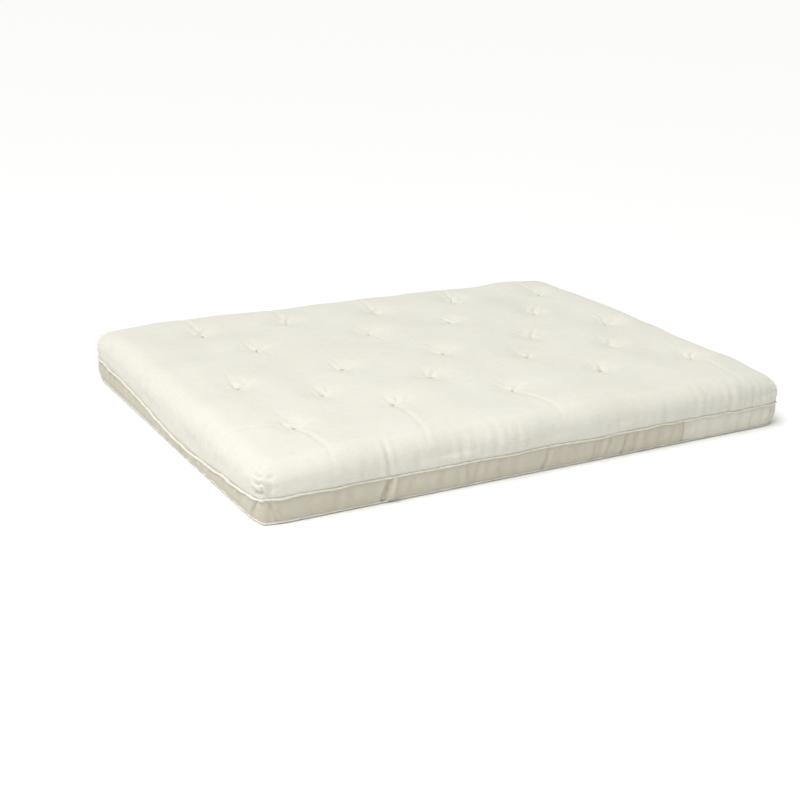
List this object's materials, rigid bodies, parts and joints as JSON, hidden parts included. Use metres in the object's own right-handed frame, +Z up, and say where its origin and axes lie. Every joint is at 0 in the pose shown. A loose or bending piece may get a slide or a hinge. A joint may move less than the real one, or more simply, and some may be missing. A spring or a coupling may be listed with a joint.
{
  "type": "futon mattress",
  "caption": "Boxed cotton futon mattress with a crowned, tufted top, rolled seam edges and a foam and cotton filling, folding along its middle from bed to sofa.",
  "frame": {"origin": "under the middle of the mattress, on the flat underside, at the fold line", "axes": "+X along the long side, to the right seen from the front edge; +Y from the front edge to the back edge; +Z up, out of the top panel"},
  "size_m": [1.9, 1.4, 0.18],
  "materials": {
    "casing_cloth": "unbleached cotton, plain weave, matte",
    "rolled_edge": "the same cotton rolled and stitched, matte",
    "cotton_batt": "loose carded cotton, matte and fibrous",
    "foam": "open-cell polyurethane foam, matte",
    "twine": "twisted cotton twine, matte"
  },
  "bodies": {
    "seat_half": {"seat_top_panel": "casing_cloth", "seat_bottom_panel": "casing_cloth", "seat_border_left": "casing_cloth", "seat_border_right": "casing_cloth", "seat_top_welt": "rolled_edge", "seat_bottom_welt": "rolled_edge", "seat_upper_batt_outer": "cotton_batt", "seat_upper_batt_middle": "cotton_batt", "seat_upper_batt_inner": "cotton_batt", "seat_foam_core": "foam", "seat_lower_batt_inner": "cotton_batt", "seat_lower_batt_outer": "cotton_batt", "seat_tuft_twine": "twine", "seat_top_knots": "twine", "seat_bottom_knots": "twine"},
    "back_half": {"back_top_panel": "casing_cloth", "back_bottom_panel": "casing_cloth", "back_border_left": "casing_cloth", "back_border_right": "casing_cloth", "back_top_welt": "rolled_edge", "back_bottom_welt": "rolled_edge", "back_upper_batt_outer": "cotton_batt", "back_upper_batt_middle": "cotton_batt", "back_upper_batt_inner": "cotton_batt", "back_foam_core": "foam", "back_lower_batt_inner": "cotton_batt", "back_lower_batt_outer": "cotton_batt", "back_tuft_twine": "twine", "back_top_knots": "twine", "back_bottom_knots": "twine"}
  },
  "joints": [
    {"name": "sofa_fold", "type": "hinge", "parent": "seat_half", "child": "back_half", "pos_m": [0, 0, 0.18], "axis": [1, 0, 0], "range_deg": [0, 75]}
  ]
}
